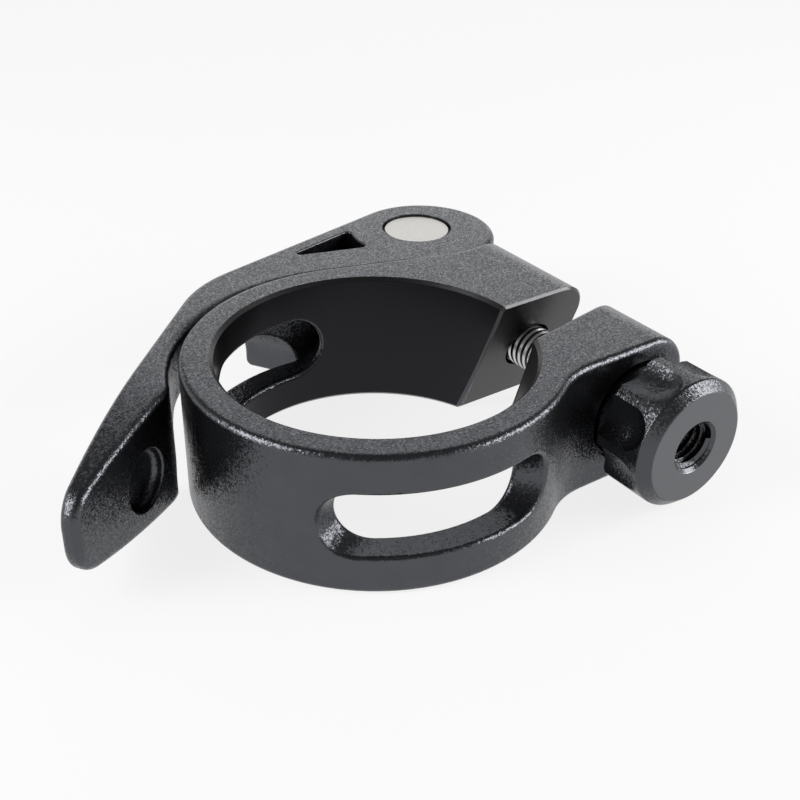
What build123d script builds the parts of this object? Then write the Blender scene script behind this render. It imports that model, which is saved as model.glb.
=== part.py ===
from build123d import *
import math
import os

# Quick-release seatpost clamp, millimetres. The origin is the centre of the bore at the collar's bottom face.
# +Z runs up the bore, +X towards the ears and the slit, +Y towards the lever's cam head.

# Ring
bore_diameter = 31.8
ring_wall = 3.35
collar_height = 15.0
edge_round = 0.7
bore_chamfer = 0.4

# Ears, the bolt line and the slit between the ears
bolt_beyond_ring = 3.05
ear_end_margin = 6.4
ear_end_round = 4.4
nut_ear_inset = 4.85
nut_ear_blend = 9.0
slit_cam_side = 2.55
slit_width = 5.4
slit_taper = 10.0
slit_lean = 21.0
slit_chamfer = 0.3
slit_nut_round = 0.6

# Windows in the ring wall, as angles about the bore at the outer wall
window_height = 6.8
front_window = (-140.0, -68.0)
back_window = (76.0, 146.0)
window_draft = 28.0
window_round = 0.45

# Bolt and nut
bolt_diameter = 5.0
bolt_hole_clearance = 0.4
bolt_end_chamfer = 0.5
bolt_grip_in_pin = 6.6
thread_clearance = 0.04
spot_face_depth = 0.9
spot_face_clearance = 0.4
nut_neck_diameter = 10.6
nut_neck_length = 2.4
nut_diameter = 14.0
nut_body_length = 6.8
nut_front_chamfer = 1.05
nut_front_round = 0.3
nut_back_chamfer = 0.35
nut_sink = 0.35
nut_seat_gap = 0.05
nut_thread_left = 4.8
flute_count = 8
flute_radius = 3.4
flute_depth = 1.15
flute_land = 1.2
flute_turn = 22.0

# Cam pin and cam
pin_beyond_ring = 4.65
pin_diameter = 8.3
pin_recess = 0.2
pin_edge = 0.3
pin_clearance = 0.05
cam_radius = 8.7
cam_throw = 1.2
cam_gap = 0.1

# Lever
lever_height = 13.0
lever_gap = 1.0
lever_round = 0.8
head_blend = 3.0
bolt_slot_clearance = 0.4
arm_back_slope = 13.0
arm_bend = 15.0
paddle_face_heading = 215.0
paddle_face_inset = 3.25
paddle_heel_round = 4.0
paddle_root = 11.3
paddle_root_thickness = 5.0
paddle_length = 29.4
paddle_tip_thickness = 1.8
paddle_tip_land = 0.15
paddle_tip_height = 7.3
paddle_tip_flat = 0.4
paddle_taper_start = 10.0
dimple_diameter = 6.1
dimple_depth = 1.2
dimple_place = 18.0
dimple_drop = 0.6
dimple_floor_round = 0.7
dimple_edge = 0.3
arch_heading = 122.0
arch_width = 26.0
arch_rise = 6.8
arch_round = 5.0
arch_edge = 0.5
pocket_depth = 6.0
pocket_back_wall = 2.2
pocket_front_wall = 5.4
pocket_pin_wall = 4.0
pocket_round = 0.5
pocket_edge = 0.2

# Worked out from the sizes above
bore_radius = bore_diameter / 2
ring_radius = bore_radius + ring_wall
bolt_reach = ring_radius + bolt_beyond_ring
pin_reach = ring_radius + pin_beyond_ring
nut_ear_face = ring_radius - nut_ear_inset
paddle_face_offset = ring_radius - paddle_face_inset
mid_height = collar_height / 2
ear_end = bolt_reach + ear_end_margin
bolt_radius = bolt_diameter / 2
bolt_hole_radius = bolt_radius + bolt_hole_clearance
pin_radius = pin_diameter / 2
cam_centre = (bolt_reach, pin_reach - cam_throw)
seat_radius = cam_radius + cam_throw + cam_gap
lever_inner_radius = ring_radius + lever_gap
rim_round = min(lever_round, (paddle_tip_thickness - paddle_tip_land) / 2)
nut_seat = -nut_ear_face + spot_face_depth - nut_seat_gap
nut_shoulder = nut_seat - nut_neck_length
nut_front = nut_shoulder - nut_body_length
far = 4 * ring_radius
overrun = 1.0
tolerance = 0.01


def polar(radius, degrees):
    """A plan point at a radius and an angle about the bore."""
    return (radius * math.cos(math.radians(degrees)), radius * math.sin(math.radians(degrees)))


def along_bolt(radius, start, end):
    """A round bar on the bolt line, from one Y to another."""
    plane = Plane(origin=(bolt_reach, start, mid_height), z_dir=(0, math.copysign(1, end - start), 0))
    return extrude(plane * Circle(radius), abs(end - start))


def upright_bar(radius, place, low, high):
    """A round bar parallel to the bore."""
    return extrude(Plane((place[0], place[1], low)) * Circle(radius), high - low)


def circles(body, radius):
    """The round edges of one radius."""
    rings = body.edges().filter_by(GeomType.CIRCLE)
    return rings.filter_by(lambda edge: abs(edge.radius - radius) < tolerance)


def rim_edges(body, side_plane, end):
    """Edges where the plan's walls meet the side view's outline, up to its far end."""
    def on_rim(edge):
        middle = edge.position_at(0.5) - side_plane.origin
        run = edge.tangent_at(0.5)
        seam_of_profile = abs(run.dot(side_plane.z_dir)) > 1 - tolerance**2
        seam_of_plan = abs(run.Z) > 1 - tolerance**2 and middle.dot(side_plane.x_dir) < end - tolerance
        return not (edge.geom_type == GeomType.LINE and (seam_of_profile or seam_of_plan))
    return body.edges().filter_by(on_rim)


def tangent_angle():
    """Heading of the normal of the line that touches the ring and the cam seat on opposite sides."""
    pin_distance = math.hypot(bolt_reach, pin_reach)
    pin_heading = math.degrees(math.atan2(pin_reach, bolt_reach))
    return pin_heading + math.degrees(math.acos((ring_radius + seat_radius) / pin_distance))


def collar_outline():
    """Plan of the collar without its bore: the ring, both ears and the hollow seat for the cam."""
    touch = polar(ring_radius, tangent_angle())
    seat_touch = (bolt_reach - seat_radius * math.cos(math.radians(tangent_angle())),
                  pin_reach - seat_radius * math.sin(math.radians(tangent_angle())))
    ears = Polygon((0, 0), (0, -nut_ear_face), (ear_end, -nut_ear_face),
                   (ear_end, pin_reach), (bolt_reach, pin_reach), seat_touch, touch, align=None)
    plan = Circle(ring_radius) + ears - Pos(bolt_reach, pin_reach) * Circle(seat_radius)
    inner_corner = (math.sqrt(ring_radius**2 - nut_ear_face**2), -nut_ear_face)
    return fillet(plan.vertices().sort_by_distance(inner_corner)[0], nut_ear_blend)


def ear_side_profile():
    """Side view of the collar: square at the ring, round at the top and bottom of the ears' ends."""
    profile = Pos(ear_end / 2 - far / 2, mid_height) * Rectangle(ear_end + far, collar_height)
    ends = profile.vertices().group_by(Axis.X)[-1]
    return fillet(ends, ear_end_round)


def window_cutter(first, last):
    """A slot cut through the ring wall between two angles, with round ends that narrow towards the bore."""
    cutter_radius = window_height / 2
    outside, inside = 1.5 * ring_wall, 3 * ring_wall
    end_turn = math.degrees(math.asin(cutter_radius / ring_radius))
    corners = []
    bars = []
    for angle, side in ((first + end_turn, -1), (last - end_turn, 1)):
        centre = polar(ring_radius, angle)
        out = polar(1, angle + side * window_draft)
        start = (centre[0] + outside * out[0], centre[1] + outside * out[1])
        end = (centre[0] - inside * out[0], centre[1] - inside * out[1])
        corners.append((start, end))
        bar_plane = Plane(origin=(*start, mid_height), z_dir=(-out[0], -out[1], 0))
        bars.append(extrude(bar_plane * Circle(cutter_radius), outside + inside))
    bulge = polar(far, (first + last) / 2)
    (start_a, end_a), (start_b, end_b) = corners
    floor_plan = Polygon(end_a, start_a, bulge, start_b, end_b, align=None)
    body = extrude(Plane((0, 0, mid_height - cutter_radius)) * floor_plan, window_height)
    return body + bars


def slit_cutter():
    """The oblique saw cut, wider at the bore than at the ends of the ears."""
    near, end = bore_radius / 2, ear_end + ring_wall
    nut_side_at_bolt = slit_cam_side - slit_width
    lean = math.tan(math.radians(slit_taper))
    near_side = nut_side_at_bolt - lean * (bolt_reach - near)
    end_side = nut_side_at_bolt + lean * (end - bolt_reach)
    plan = Polygon((near, slit_cam_side), (near, near_side), (end, end_side), (end, slit_cam_side),
                   align=None)
    direction = (0, -math.tan(math.radians(slit_lean)), 1)
    return extrude(Plane((0, 0, mid_height)) * plan, collar_height, dir=direction, both=True)


def on_slit(point):
    """Whether a point lies on either face of the saw cut."""
    across = point.Y + (point.Z - mid_height) * math.tan(math.radians(slit_lean))
    nut_side = slit_cam_side - slit_width + (point.X - bolt_reach) * math.tan(math.radians(slit_taper))
    return min(abs(across - slit_cam_side), abs(across - nut_side)) < tolerance


def slit_edges(body, side):
    """The outline of one face of the saw cut, counted from the nut's side."""
    faces = body.faces().filter_by(lambda face: on_slit(face.center())).sort_by(Axis.Y)
    return faces[side].outer_wire().edges()


def window_edges(body, first, last):
    """The outer and inner rims of one window."""
    def on_window(edge):
        spot = edge.position_at(0.5)
        radius = math.hypot(spot.X, spot.Y)
        turn = (math.degrees(math.atan2(spot.Y, spot.X)) - first) % 360
        on_wall = min(abs(radius - ring_radius), abs(radius - bore_radius)) < tolerance
        inside = abs(spot.Z - mid_height) < window_height / 2 + tolerance and turn < last - first + tolerance
        return on_wall and inside
    return body.edges().filter_by(on_window)


def make_collar():
    """The split band with its ears, bore, windows, bolt hole, spot face and cam seat."""
    side = extrude(Plane(origin=(0, far, 0), x_dir=(1, 0, 0), z_dir=(0, -1, 0)) * ear_side_profile(), 2 * far)
    body = extrude(collar_outline(), collar_height) & side
    body = fillet(rim_edges(body, Plane.XZ, ear_end), edge_round)
    body -= upright_bar(bore_radius, (0, 0), -overrun, collar_height + overrun)
    body = chamfer(circles(body, bore_radius), bore_chamfer)
    body -= slit_cutter()
    body = fillet(slit_edges(body, 0), slit_nut_round)
    body = chamfer(slit_edges(body, -1), slit_chamfer)
    body -= along_bolt(bolt_hole_radius, -nut_ear_face - overrun, pin_reach)
    body -= along_bolt(nut_neck_diameter / 2 + spot_face_clearance, -nut_ear_face + spot_face_depth, -far)
    for first, last in (front_window, back_window):
        body -= window_cutter(first, last)
        body = fillet(window_edges(body, first, last), window_round)
    return body


def on_line(line, distance):
    """A plan point on a line, which is given by its normal's heading and its distance from the bore."""
    heading, offset = math.radians(line[0]), line[1]
    return (offset * math.cos(heading) - distance * math.sin(heading),
            offset * math.sin(heading) + distance * math.cos(heading))


def line_place(line, point):
    """How far a point lies out from the bore along a line's normal, and how far along the line."""
    heading = math.radians(line[0])
    return (point[0] * math.cos(heading) + point[1] * math.sin(heading),
            point[1] * math.cos(heading) - point[0] * math.sin(heading))


def meet(line_a, line_b):
    """Where two such lines cross."""
    a, b = math.radians(line_a[0]), math.radians(line_b[0])
    turn = math.sin(b - a)
    return ((line_a[1] * math.sin(b) - line_b[1] * math.sin(a)) / turn,
            (line_b[1] * math.cos(a) - line_a[1] * math.cos(b)) / turn)


def arm_back_line():
    """The straight back of the arm, which touches the cam head."""
    heading = arm_back_slope + 90
    return heading, line_place((heading, 0), cam_centre)[0] + cam_radius


def arm_front_line():
    """The straight front of the arm, which runs beside the collar's ear."""
    return tangent_angle(), lever_inner_radius


def paddle_face_line():
    """The flat inner face of the paddle."""
    return paddle_face_heading - 90, paddle_face_offset


def paddle_back_line():
    """The straight back of the paddle, which nears the inner face towards the tip."""
    heading, offset = paddle_face_line()
    thinning = (paddle_root_thickness - paddle_tip_thickness) / (paddle_length - paddle_root)
    back_heading = heading + math.degrees(math.atan(thinning))
    root = on_line((heading, offset + paddle_root_thickness), paddle_root)
    return back_heading, line_place((back_heading, 0), root)[0]


def lever_outline():
    """Plan of the closed lever: cam head, arm along the ring and a paddle that runs on past its tip."""
    past_tip = paddle_length + paddle_root_thickness
    bend = meet(arm_back_line(), paddle_back_line())
    front_out, front_run = line_place(arm_front_line(), cam_centre)
    head_chord = math.sqrt(cam_radius**2 - (front_out - lever_inner_radius)**2)
    plan = Polygon(cam_centre,
                   on_line(arm_back_line(), line_place(arm_back_line(), cam_centre)[1]),
                   bend,
                   on_line(paddle_back_line(), past_tip),
                   on_line(paddle_face_line(), past_tip),
                   on_line(paddle_face_line(), 0),
                   on_line(arm_front_line(), 0),
                   on_line(arm_front_line(), front_run),
                   align=None)
    plan = fillet(plan.vertices().sort_by_distance(bend)[0], arm_bend)
    plan = plan - Circle(lever_inner_radius) + Pos(*cam_centre) * Circle(cam_radius)
    heel = on_line(paddle_face_line(), math.sqrt(lever_inner_radius**2 - paddle_face_offset**2))
    plan = fillet(plan.vertices().sort_by_distance(heel)[0], paddle_heel_round)
    neck = on_line(arm_front_line(), front_run + head_chord)
    return fillet(plan.vertices().sort_by_distance(neck)[0], head_blend)


def pocket_outline():
    """Plan of the three-sided pocket in the top of the arm, beside the pin."""
    back = (arm_back_line()[0], arm_back_line()[1] - pocket_back_wall)
    front = (arm_front_line()[0], arm_front_line()[1] + pocket_front_wall)
    pin_place = (bolt_reach, pin_reach)
    plan = Polygon(meet(back, front), on_line(front, line_place(front, pin_place)[1]),
                   on_line(back, line_place(back, pin_place)[1]), align=None)
    plan -= Pos(*pin_place) * Circle(pin_radius + pocket_pin_wall)
    return fillet(plan.vertices(), pocket_round)


def arch_cutter():
    """The hollow under the arm, which leaves the arm as a bridge between head and paddle."""
    outward = polar(1, arch_heading)
    along = polar(1, arch_heading - 90)
    low = mid_height - lever_height / 2
    plane = Plane(origin=(0, 0, low), x_dir=(*along, 0), z_dir=(*outward, 0))
    profile = Rectangle(arch_width, 2 * arch_rise)
    top_corners = profile.vertices().group_by(Axis.Y)[0]
    return extrude(plane * fillet(top_corners, arch_round), far)


def dimple_cutter():
    """The round dimple in the paddle's inner face."""
    inward = polar(1, paddle_face_line()[0])
    along = polar(1, paddle_face_heading)
    centre = on_line(paddle_face_line(), dimple_place)
    plane = Plane(origin=(*centre, mid_height - dimple_drop), x_dir=(*along, 0), z_dir=(*inward, 0))
    body = extrude(plane * Circle(dimple_diameter / 2), dimple_depth, both=True)
    floor = body.faces().sort_by(Axis((0, 0, 0), (*inward, 0)))[-1]
    return fillet(floor.edges(), dimple_floor_round)


def lever_side_profile():
    """Side view along the paddle: level at the arm, narrower along a long arc, round at the tip."""
    half = lever_height / 2
    tip = paddle_tip_height / 2
    with BuildSketch() as profile:
        with BuildLine():
            Line((-far, 0), (-far, half))
            Line((-far, half), (paddle_taper_start, half))
            TangentArc((paddle_taper_start, half), (paddle_length, tip), tangent=(1, 0))
            Line((paddle_length, tip), (paddle_length, 0))
            mirror(about=Plane.XZ)
        make_face()
        corners = profile.vertices().filter_by(lambda corner: abs(corner.Y) > tolerance)
        fillet(corners.group_by(Axis.X)[-1], tip - paddle_tip_flat / 2)
    return profile.sketch


def hollow(body, cutter, edge):
    """Cuts a hollow and rounds the edges that it leaves."""
    cut = body - cutter
    return fillet(new_edges(body, cutter, combined=cut), edge)


def make_lever():
    """The cam lever, closed, with its pin hole, bolt slot, pocket, arch and dimple."""
    low = mid_height - lever_height / 2
    high = mid_height + lever_height / 2
    along = polar(1, paddle_face_heading)
    side_plane = Plane(origin=(0, 0, mid_height), x_dir=(*along, 0), z_dir=(along[1], -along[0], 0))
    side = extrude(side_plane * lever_side_profile(), far, both=True)
    body = extrude(Plane((0, 0, low - overrun)) * lever_outline(), lever_height + 2 * overrun) & side
    body = fillet(rim_edges(body, side_plane, paddle_length), rim_round)
    pocket = extrude(Plane((0, 0, high - pocket_depth)) * pocket_outline(), 2 * pocket_depth)
    body = hollow(body, arch_cutter(), arch_edge)
    body = hollow(body, dimple_cutter(), dimple_edge)
    body = hollow(body, pocket, pocket_edge)
    pin_hole_radius = pin_radius + pin_clearance
    body -= upright_bar(pin_hole_radius, (bolt_reach, pin_reach), low - overrun, high + overrun)
    slot_half = bolt_radius + bolt_slot_clearance
    slot_plan = Pos(bolt_reach - slot_half + far / 2, pin_reach) * Rectangle(far, far)
    return body - extrude(Plane((0, 0, mid_height - slot_half)) * slot_plan, 2 * slot_half)


def make_cam_pin():
    """The barrel that the lever turns on, with the cross hole for the bolt."""
    length = lever_height - 2 * pin_recess
    body = upright_bar(pin_radius, (bolt_reach, pin_reach), mid_height - length / 2, mid_height + length / 2)
    body = chamfer(body.edges().filter_by(GeomType.CIRCLE), pin_edge)
    hole_bottom = pin_reach - pin_radius + bolt_grip_in_pin + bolt_end_chamfer
    return body - along_bolt(bolt_radius + thread_clearance, pin_reach - 2 * pin_radius, hole_bottom)


def make_clamp_bolt():
    """The stud from the barrel to the nut."""
    start = pin_reach - pin_radius + bolt_grip_in_pin
    end = nut_front + nut_thread_left
    body = along_bolt(bolt_radius, start, end)
    return chamfer(body.edges().filter_by(GeomType.CIRCLE), bolt_end_chamfer)


def make_thumb_nut():
    """The fluted nut: neck, scalloped grip, plain front rim and through hole."""
    radius = nut_diameter / 2
    neck = along_bolt(nut_neck_diameter / 2, nut_seat, nut_shoulder)
    grip = along_bolt(radius, nut_shoulder, nut_front)
    rims = grip.edges().filter_by(GeomType.CIRCLE).sort_by(Axis.Y)
    grip = chamfer(rims[0], nut_front_chamfer)
    grip = fillet(grip.edges().filter_by(GeomType.CIRCLE).sort_by(Axis.Y)[:2], nut_front_round)
    grip = chamfer(grip.edges().filter_by(GeomType.CIRCLE).sort_by(Axis.Y)[-1], nut_back_chamfer)
    cutter_distance = radius + flute_radius - flute_depth
    flute_end = nut_front + flute_land + math.sqrt(flute_radius**2 - (flute_radius - flute_depth)**2)
    for index in range(flute_count):
        angle = flute_turn + index * 360 / flute_count
        across, up = polar(cutter_distance, angle)
        plane = Plane(origin=(bolt_reach + across, flute_end, mid_height + up), z_dir=(0, 1, 0))
        grip -= extrude(plane * Circle(flute_radius), nut_body_length)
        grip -= Pos(*plane.origin) * Sphere(flute_radius)
    body = neck + grip
    bore = bolt_radius + thread_clearance
    body -= along_bolt(bore, nut_seat + overrun, nut_front - overrun)
    return chamfer(circles(body, bore), nut_sink)


def main():
    """Builds every piece and writes one file for each."""
    pieces = {
        "collar": make_collar(),
        "lever": make_lever(),
        "cam_pin": make_cam_pin(),
        "clamp_bolt": make_clamp_bolt(),
        "thumb_nut": make_thumb_nut(),
    }
    os.makedirs("parts", exist_ok=True)
    for name, shape in pieces.items():
        export_step(shape, f"parts/{name}.step")


main()
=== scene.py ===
import math

import bpy
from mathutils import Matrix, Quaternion, Vector


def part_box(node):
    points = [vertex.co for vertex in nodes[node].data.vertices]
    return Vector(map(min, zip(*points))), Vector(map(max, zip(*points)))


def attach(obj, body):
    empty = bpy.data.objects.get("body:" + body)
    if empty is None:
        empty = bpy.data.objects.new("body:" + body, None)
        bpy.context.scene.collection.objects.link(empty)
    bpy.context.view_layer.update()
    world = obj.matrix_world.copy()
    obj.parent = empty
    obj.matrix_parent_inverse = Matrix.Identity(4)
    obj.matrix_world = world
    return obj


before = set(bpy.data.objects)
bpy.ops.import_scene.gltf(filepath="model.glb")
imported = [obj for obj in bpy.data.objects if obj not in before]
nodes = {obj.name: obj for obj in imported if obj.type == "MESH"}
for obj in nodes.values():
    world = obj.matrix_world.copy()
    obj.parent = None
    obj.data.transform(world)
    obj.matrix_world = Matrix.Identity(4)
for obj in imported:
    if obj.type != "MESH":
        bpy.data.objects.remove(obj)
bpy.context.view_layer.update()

# Quick-release seatpost clamp: finishes, the thread in the nut, light and camera.
# Sizes are in millimetres and angles in degrees. A size goes through mm into Blender, which works in metres.
mm = 0.001

# Places on the clamp that the finishes and the thread follow
bore_radius = 15.9
bore_chamfer = 0.4
collar_height = 15.0
slit_cam_side = 2.55
slit_width = 5.4
slit_taper = 10.0
slit_lean = 21.0
slit_chamfer = 0.3
bolt_reach = 22.3
pin_reach = 23.9
mid_height = collar_height / 2

# How far a mask's limit stands off the face that it tells apart
skin = 0.03

# Blasted skin, drawn coarser than the dimples of real glass beads, about 0.05 mm, so that its sparkle shows
bead_spacing = 0.14
bead_tilt = 0.26
swell_spacing = 0.8
swell_depth = 0.012
mottle_spacing = 2.5
blasted_roughness = 0.3

# Share of the blasted grain that shows where the metal was cut afterwards
cut_grain = 0.1
nut_front_grain = 0.15

# Relief on the bare metals: the lathe's rings on the pin and the bolt's thread
lathe_ring_spacing = 0.32
lathe_ring_depth = 0.02
bolt_thread_depth = 0.23

# Thread in the nut's hole
thread_pitch = 0.8
thread_root_radius = 2.56
thread_crest_radius = 2.12
thread_root_width = 0.66
thread_crest_width = 0.12
thread_front_gap = 0.68
thread_back_gap = 0.25
thread_steps_per_turn = 72
thread_merge_distance = 0.001
thread_crease_angle = 30.0

# Camera
camera_place = (-58.13, -84.58, 71.55)
camera_target = (3.488, 0.657, 7.5)
camera_roll = 1.07
camera_lens = 53.6
camera_sensor = 36.0
camera_nearest = 1.0
camera_farthest = 10000.0

# Stage. The room fades between two heights, each the sine of its elevation.
floor_side = 4000.0
floor_glow = 0.82
room_dim = 0.16
room_bright = 0.95
room_fade_low = 0.12
room_fade_high = 0.5
lamp_target = (2.0, 2.0, 8.0)


def linear(colour):
    """An sRGB hex colour as linear red, green, blue and a full alpha."""
    shares = [int(colour[start:start + 2], 16) / 255 for start in (1, 3, 5)]
    return [s / 12.92 if s <= 0.04045 else ((s + 0.055) / 1.055) ** 2.4 for s in shares] + [1.0]


def per_metre(spacing):
    """A texture's scale for a pattern with this spacing in millimetres."""
    return 1 / (spacing * mm)


def waves_per_metre(spacing):
    """A wave texture's scale for this spacing in millimetres: at a scale of 1 its waves are pi / 10 apart."""
    return per_metre(spacing) * math.pi / 10


def add(tree, kind, inputs=None, **settings):
    """Adds a node with its settings. An input is linked if it is given a socket, and set otherwise."""
    made = tree.nodes.new(kind)
    for name, value in settings.items():
        setattr(made, name, value)
    for name, value in (inputs or {}).items():
        if isinstance(value, bpy.types.NodeSocket):
            tree.links.new(value, made.inputs[name])
        else:
            made.inputs[name].default_value = value
    return made


def start_material(name):
    """A new material and its node tree, still empty."""
    material = bpy.data.materials.new(name)
    material.use_nodes = True
    material.node_tree.nodes.clear()
    return material, material.node_tree


def blasted_normal(tree, place, share):
    """Normal of a blasted skin: a slow swell, with the facet of one bead in each cell tilted its own way."""
    swell = add(tree, "ShaderNodeTexNoise",
                {"Vector": place, "Scale": per_metre(swell_spacing), "Detail": 2.0})
    skin_normal = add(tree, "ShaderNodeBump",
                      {"Height": swell.outputs["Fac"], "Strength": share, "Distance": swell_depth * mm})
    beads = add(tree, "ShaderNodeTexVoronoi", {"Vector": place, "Scale": per_metre(bead_spacing)})
    lean = add(tree, "ShaderNodeVectorMath",
               {0: beads.outputs["Color"], 1: (0.5, 0.5, 0.5)}, operation="SUBTRACT")
    lean = add(tree, "ShaderNodeVectorMath", {0: lean.outputs[0], "Scale": share}, operation="SCALE")
    lean = add(tree, "ShaderNodeVectorMath", {0: lean.outputs[0], "Scale": bead_tilt}, operation="SCALE")
    facet = add(tree, "ShaderNodeVectorMath", {0: skin_normal.outputs["Normal"], 1: lean.outputs[0]})
    return add(tree, "ShaderNodeVectorMath", {0: facet.outputs[0]}, operation="NORMALIZE").outputs[0]


def mottled_black(tree, place):
    """The charcoal of black anodised aluminium, mottled a little as the dye takes."""
    mottle = add(tree, "ShaderNodeTexNoise",
                 {"Vector": place, "Scale": per_metre(mottle_spacing), "Detail": 2.0})
    return add(tree, "ShaderNodeMix",
               {"Factor": mottle.outputs["Fac"], "A": linear("#4D4E51"), "B": linear("#55565A")},
               data_type="RGBA").outputs["Result"]


def bore_masks(tree, place):
    """1 on the bore's wall in the first mask and on its two chamfers in the second."""
    flat = add(tree, "ShaderNodeVectorMath", {0: place, 1: (1, 1, 0)}, operation="MULTIPLY")
    radius = add(tree, "ShaderNodeVectorMath", {0: flat.outputs[0]}, operation="LENGTH").outputs["Value"]
    on_wall = add(tree, "ShaderNodeMath", {0: radius, 1: (bore_radius + skin) * mm}, operation="LESS_THAN")
    near_rim = add(tree, "ShaderNodeMath",
                   {0: radius, 1: (bore_radius + bore_chamfer - skin) * mm}, operation="LESS_THAN")
    height = add(tree, "ShaderNodeSeparateXYZ", {0: place}).outputs["Z"]
    from_middle = add(tree, "ShaderNodeMath", {0: height, 1: mid_height * mm}, operation="SUBTRACT")
    from_middle = add(tree, "ShaderNodeMath", {0: from_middle.outputs[0]}, operation="ABSOLUTE")
    at_end = add(tree, "ShaderNodeMath",
                 {0: from_middle.outputs[0], 1: (mid_height - bore_chamfer + skin) * mm},
                 operation="GREATER_THAN")
    on_chamfer = add(tree, "ShaderNodeMath",
                     {0: near_rim.outputs[0], 1: at_end.outputs[0]}, operation="MULTIPLY")
    return on_wall.outputs[0], on_chamfer.outputs[0]


def slit_mask(tree, place):
    """1 on the two walls of the leaning slit and on their chamfers, which a saw left bare of grain."""
    spot = add(tree, "ShaderNodeSeparateXYZ", {0: place})
    height = add(tree, "ShaderNodeMath", {0: spot.outputs["Z"], 1: mid_height * mm}, operation="SUBTRACT")
    across = add(tree, "ShaderNodeMath",
                 {0: height.outputs[0], 1: math.tan(math.radians(slit_lean)), 2: spot.outputs["Y"]},
                 operation="MULTIPLY_ADD")
    past_bolt = add(tree, "ShaderNodeMath", {0: spot.outputs["X"], 1: bolt_reach * mm}, operation="SUBTRACT")
    nut_side = add(tree, "ShaderNodeMath",
                   {0: past_bolt.outputs[0], 1: math.tan(math.radians(slit_taper)),
                    2: (slit_cam_side - slit_width - slit_chamfer) * mm}, operation="MULTIPLY_ADD")
    below = add(tree, "ShaderNodeMath",
                {0: across.outputs[0], 1: (slit_cam_side + slit_chamfer) * mm}, operation="LESS_THAN")
    above = add(tree, "ShaderNodeMath",
                {0: across.outputs[0], 1: nut_side.outputs[0]}, operation="GREATER_THAN")
    outside = add(tree, "ShaderNodeMath",
                  {0: spot.outputs["X"], 1: bore_radius * mm}, operation="GREATER_THAN")
    between = add(tree, "ShaderNodeMath", {0: below.outputs[0], 1: above.outputs[0]}, operation="MULTIPLY")
    return add(tree, "ShaderNodeMath",
               {0: between.outputs[0], 1: outside.outputs[0]}, operation="MULTIPLY").outputs[0]


def blasted_black_collar(name):
    """Bead-blasted and black anodised aluminium: a charcoal metal with a soft sheen.

    Every dimple mirrors the light by itself, so round edges glitter and flat faces look finely sanded. The
    bore and the slit are cut after the blasting, so they are smooth. The bore's wall is also painted darker,
    as painted shade for the shadowed floor that it mirrors inside the ring.
    """
    material, tree = start_material(name)
    place = add(tree, "ShaderNodeTexCoord").outputs["Object"]
    on_wall, on_chamfer = bore_masks(tree, place)
    on_slit = slit_mask(tree, place)
    cut = add(tree, "ShaderNodeMath", {0: on_chamfer, 1: on_slit}, operation="MAXIMUM").outputs[0]
    smooth = add(tree, "ShaderNodeMath", {0: cut, 1: on_wall}, operation="MAXIMUM").outputs[0]
    # Painted shade: the bore's wall is drawn a darker charcoal for the shadowed floor it mirrors inside the
    # ring.
    tone = add(tree, "ShaderNodeMix",
               {"Factor": on_wall, "A": mottled_black(tree, place), "B": linear("#2B2B2E")}, data_type="RGBA")
    tone = add(tree, "ShaderNodeMix",
               {"Factor": cut, "A": tone.outputs["Result"], "B": linear("#434344")}, data_type="RGBA")
    share = add(tree, "ShaderNodeMapRange", {"Value": smooth, "To Min": 1.0, "To Max": cut_grain})
    normal = blasted_normal(tree, place, share.outputs["Result"])
    shader = add(tree, "ShaderNodeBsdfPrincipled",
                 {"Base Color": tone.outputs["Result"], "Metallic": 1.0, "Roughness": blasted_roughness,
                  "Normal": normal})
    add(tree, "ShaderNodeOutputMaterial", {"Surface": shader.outputs[0]})
    return material


def blasted_black_lever(name):
    """The collar's blasted black aluminium on the lever, which has no bare cuts."""
    material, tree = start_material(name)
    place = add(tree, "ShaderNodeTexCoord").outputs["Object"]
    shader = add(tree, "ShaderNodeBsdfPrincipled",
                 {"Base Color": mottled_black(tree, place), "Metallic": 1.0, "Roughness": blasted_roughness,
                  "Normal": blasted_normal(tree, place, 1.0)})
    add(tree, "ShaderNodeOutputMaterial", {"Surface": shader.outputs[0]})
    return material


def turned_steel(name):
    """Bare turned steel: a dull silver end with fine rings left by the lathe."""
    material, tree = start_material(name)
    place = add(tree, "ShaderNodeTexCoord").outputs["Object"]
    centred = add(tree, "ShaderNodeMapping",
                  {"Vector": place, "Location": (-bolt_reach * mm, -pin_reach * mm, 0.0)})
    rings = add(tree, "ShaderNodeTexWave",
                {"Vector": centred.outputs[0], "Scale": waves_per_metre(lathe_ring_spacing),
                 "Distortion": 1.5, "Detail": 2.0, "Detail Scale": 1.0},
                wave_type="RINGS", rings_direction="Z")
    tone = add(tree, "ShaderNodeMix",
               {"Factor": rings.outputs["Fac"], "A": linear("#BDBBB7"), "B": linear("#CDCBC7")},
               data_type="RGBA")
    bump = add(tree, "ShaderNodeBump",
               {"Height": rings.outputs["Fac"], "Strength": 0.5, "Distance": lathe_ring_depth * mm})
    shader = add(tree, "ShaderNodeBsdfPrincipled",
                 {"Base Color": tone.outputs["Result"], "Metallic": 1.0, "Roughness": 0.36,
                  "Normal": bump.outputs["Normal"]})
    add(tree, "ShaderNodeOutputMaterial", {"Surface": shader.outputs[0]})
    return material


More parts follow.
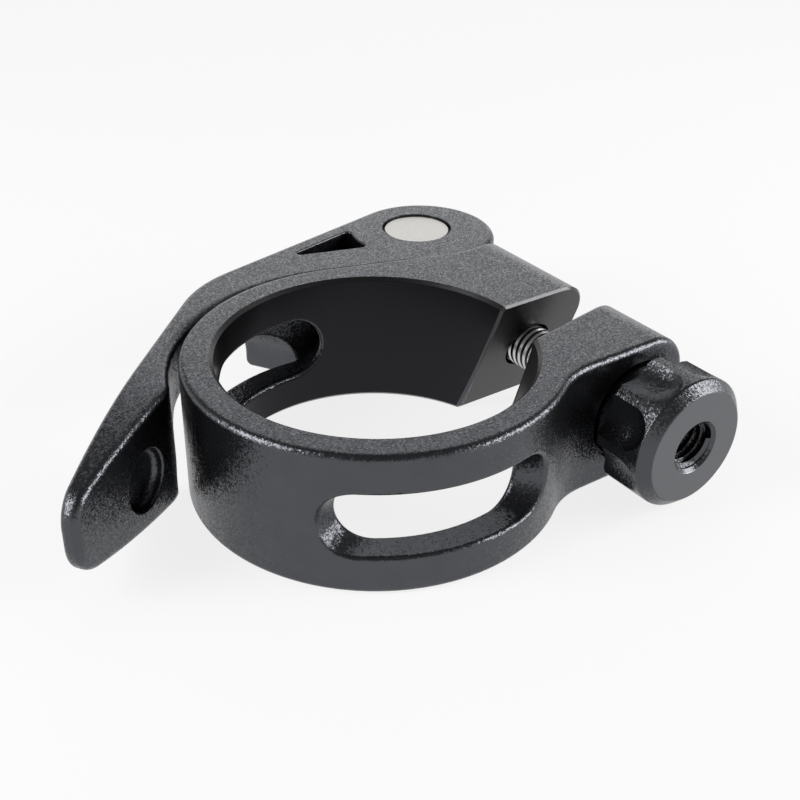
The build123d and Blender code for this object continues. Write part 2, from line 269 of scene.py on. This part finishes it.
def rolled_steel(name):
    """Zinc-plated steel with a rolled thread, drawn as rings: pale grey, with a glint on each flank."""
    material, tree = start_material(name)
    place = add(tree, "ShaderNodeTexCoord").outputs["Object"]
    flanks = add(tree, "ShaderNodeTexWave", {"Vector": place, "Scale": waves_per_metre(thread_pitch)},
                 wave_type="BANDS", bands_direction="Y", wave_profile="TRI")
    bump = add(tree, "ShaderNodeBump",
               {"Height": flanks.outputs["Fac"], "Strength": 1.0, "Distance": bolt_thread_depth * mm})
    shader = add(tree, "ShaderNodeBsdfPrincipled",
                 {"Base Color": linear("#CFCFD0"), "Metallic": 1.0, "Roughness": 0.3,
                  "Normal": bump.outputs["Normal"]})
    add(tree, "ShaderNodeOutputMaterial", {"Surface": shader.outputs[0]})
    return material


def satin_black_nut(name):
    """Satin black anodised aluminium: blasted like the collar, with a smooth front off the lathe. The front
    is painted a lighter grey, a painted highlight for the light that falls on it.
    """
    material, tree = start_material(name)
    place = add(tree, "ShaderNodeTexCoord").outputs["Object"]
    along = add(tree, "ShaderNodeSeparateXYZ", {0: place}).outputs["Y"]
    front = add(tree, "ShaderNodeMath", {0: along, 1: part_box("thumb_nut")[0][1] + skin * mm},
                operation="LESS_THAN").outputs[0]
    # Painted highlight: the front face is drawn a lighter grey for the light that falls on it. Its smoothness
    # is real.
    tone = add(tree, "ShaderNodeMix",
               {"Factor": front, "A": linear("#4F5053"), "B": linear("#68696C")}, data_type="RGBA")
    share = add(tree, "ShaderNodeMapRange", {"Value": front, "To Min": 1.0, "To Max": nut_front_grain})
    normal = blasted_normal(tree, place, share.outputs["Result"])
    shader = add(tree, "ShaderNodeBsdfPrincipled",
                 {"Base Color": tone.outputs["Result"], "Metallic": 1.0, "Roughness": blasted_roughness,
                  "Normal": normal})
    add(tree, "ShaderNodeOutputMaterial", {"Surface": shader.outputs[0]})
    return material


def finish_node(name, material):
    """Gives a CAD node its finish."""
    nodes[name].data.materials.clear()
    nodes[name].data.materials.append(material)


def make_nut_thread(material):
    """The thread in the nut: one ridge that winds from behind the countersink to the bolt's end."""
    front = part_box("thumb_nut")[0][1] / mm + thread_front_gap
    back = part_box("clamp_bolt")[0][1] / mm - thread_back_gap
    turns = (back - front) / thread_pitch
    depth = thread_root_radius - thread_crest_radius

    # The ridge's section: a rectangle at the root radius, narrowed at its crest
    bpy.ops.object.select_all(action="DESELECT")
    bpy.ops.mesh.primitive_plane_add(size=mm, location=(bolt_reach * mm, front * mm, mid_height * mm))
    thread = bpy.context.object
    thread.name = "nut_thread"
    bpy.ops.object.mode_set(mode="EDIT")
    bpy.ops.transform.resize(value=(depth, thread_root_width, 1))
    bpy.ops.transform.translate(value=((thread_root_radius - depth / 2) * mm, 0, 0))
    bpy.ops.mesh.select_all(action="DESELECT")
    bpy.ops.object.mode_set(mode="OBJECT")
    for corner in thread.data.vertices:
        corner.select = corner.co.x < (thread_crest_radius + depth / 2) * mm
    bpy.ops.object.mode_set(mode="EDIT")
    bpy.ops.transform.resize(value=(1, thread_crest_width / thread_root_width, 1))
    bpy.ops.mesh.select_all(action="SELECT")
    bpy.ops.mesh.delete(type="ONLY_FACE")
    bpy.ops.object.mode_set(mode="OBJECT")

    # Wound along the bolt's axis
    winding = thread.modifiers.new("winding", "SCREW")
    winding.axis = "Y"
    winding.angle = turns * math.tau
    winding.screw_offset = turns * thread_pitch * mm
    winding.steps = round(turns * thread_steps_per_turn)
    winding.render_steps = winding.steps
    bpy.ops.object.modifier_apply(modifier=winding.name)

    # Closed at both ends
    bpy.ops.object.mode_set(mode="EDIT")
    bpy.ops.mesh.select_all(action="SELECT")
    bpy.ops.mesh.remove_doubles(threshold=thread_merge_distance * mm)
    bpy.ops.mesh.fill_holes(sides=4)
    bpy.ops.mesh.select_all(action="SELECT")
    bpy.ops.mesh.normals_make_consistent(inside=False)
    bpy.ops.object.mode_set(mode="OBJECT")
    bpy.ops.object.shade_smooth_by_angle(angle=math.radians(thread_crease_angle))
    bpy.ops.object.transform_apply(location=True, rotation=True, scale=True)
    thread.data.materials.append(material)
    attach(thread, "thumb_nut")


def make_floor():
    """A white paper floor that keeps the shadow and glows a little where it is seen or mirrored."""
    bpy.ops.object.select_all(action="DESELECT")
    bpy.ops.mesh.primitive_plane_add(size=floor_side * mm)
    floor = bpy.context.object
    floor.name = "floor"
    material, tree = start_material("white_paper_sweep")
    path = add(tree, "ShaderNodeLightPath")
    seen = add(tree, "ShaderNodeMath",
               {0: path.outputs["Is Camera Ray"], 1: path.outputs["Is Glossy Ray"]}, operation="MAXIMUM")
    seen = add(tree, "ShaderNodeMath",
               {0: seen.outputs[0], 1: path.outputs["Is Transmission Ray"]}, operation="MAXIMUM")
    share = add(tree, "ShaderNodeMath", {0: seen.outputs[0], 1: floor_glow}, operation="MULTIPLY")
    lit = add(tree, "ShaderNodeBsdfDiffuse", {"Color": linear("#F2F2F2")})
    glow = add(tree, "ShaderNodeEmission", {"Color": linear("#FFFFFF"), "Strength": 1.0})
    mix = add(tree, "ShaderNodeMixShader", {0: share.outputs[0], 1: lit.outputs[0], 2: glow.outputs[0]})
    add(tree, "ShaderNodeOutputMaterial", {"Surface": mix.outputs[0]})
    floor.data.materials.append(material)


def make_softbox(name, heading, elevation, distance, width, height, brightness):
    """A softbox that faces the clamp. Its power follows its area, so it looks as bright at any size."""
    lamp = bpy.data.lights.new(name, "AREA")
    lamp.shape = "RECTANGLE"
    lamp.size = width * mm
    lamp.size_y = height * mm
    lamp.energy = brightness * math.pi * width * mm * height * mm
    softbox = bpy.data.objects.new(name, lamp)
    bpy.context.scene.collection.objects.link(softbox)
    turn = math.radians(heading)
    rise = math.radians(elevation)
    towards = Vector((math.cos(rise) * math.cos(turn), math.cos(rise) * math.sin(turn), math.sin(rise)))
    softbox.location = (Vector(lamp_target) + distance * towards) * mm
    softbox.rotation_mode = "QUATERNION"
    softbox.rotation_quaternion = (-towards).to_track_quat("-Z", "Y")


def make_world():
    """A room that is pale near the horizon and dim overhead."""
    world = bpy.data.worlds.new("studio")
    bpy.context.scene.world = world
    world.use_nodes = True
    tree = world.node_tree
    tree.nodes.clear()
    direction = add(tree, "ShaderNodeTexCoord").outputs["Generated"]
    up = add(tree, "ShaderNodeSeparateXYZ", {0: direction}).outputs["Z"]
    room = add(tree, "ShaderNodeMapRange",
               {"Value": up, "From Min": room_fade_low, "From Max": room_fade_high,
                "To Min": room_bright, "To Max": room_dim}, interpolation_type="SMOOTHSTEP")
    light = add(tree, "ShaderNodeBackground",
                {"Color": linear("#FFFFFF"), "Strength": room.outputs["Result"]})
    add(tree, "ShaderNodeOutputWorld", {"Surface": light.outputs[0]})


def make_camera():
    """The photograph's angle and lens."""
    camera = bpy.data.objects.new("camera", bpy.data.cameras.new("camera"))
    bpy.context.scene.collection.objects.link(camera)
    forward = Vector(camera_target) - Vector(camera_place)
    roll = Quaternion((0, 0, 1), math.radians(camera_roll))
    camera.location = Vector(camera_place) * mm
    camera.rotation_mode = "QUATERNION"
    camera.rotation_quaternion = forward.to_track_quat("-Z", "Y") @ roll
    camera.data.lens = camera_lens
    camera.data.sensor_width = camera_sensor
    camera.data.clip_start = camera_nearest * mm
    camera.data.clip_end = camera_farthest * mm
    bpy.context.scene.camera = camera


nut_finish = satin_black_nut("satin_black_anodised_aluminium")
finish_node("collar", blasted_black_collar("blasted_black_aluminium_collar"))
finish_node("lever", blasted_black_lever("blasted_black_aluminium_lever"))
finish_node("cam_pin", turned_steel("turned_bare_steel"))
finish_node("clamp_bolt", rolled_steel("rolled_zinc_plated_steel"))
finish_node("thumb_nut", nut_finish)
make_nut_thread(nut_finish)

make_floor()
make_softbox("right_softbox", heading=-37, elevation=22, distance=300, width=180, height=125, brightness=9.5)
make_softbox("left_softbox", heading=166, elevation=31, distance=300, width=130, height=170, brightness=9.0)
make_softbox("back_softbox", heading=54, elevation=28, distance=400, width=380, height=380, brightness=0.85)
make_world()
make_camera()
bpy.context.scene.view_settings.view_transform = "Standard"
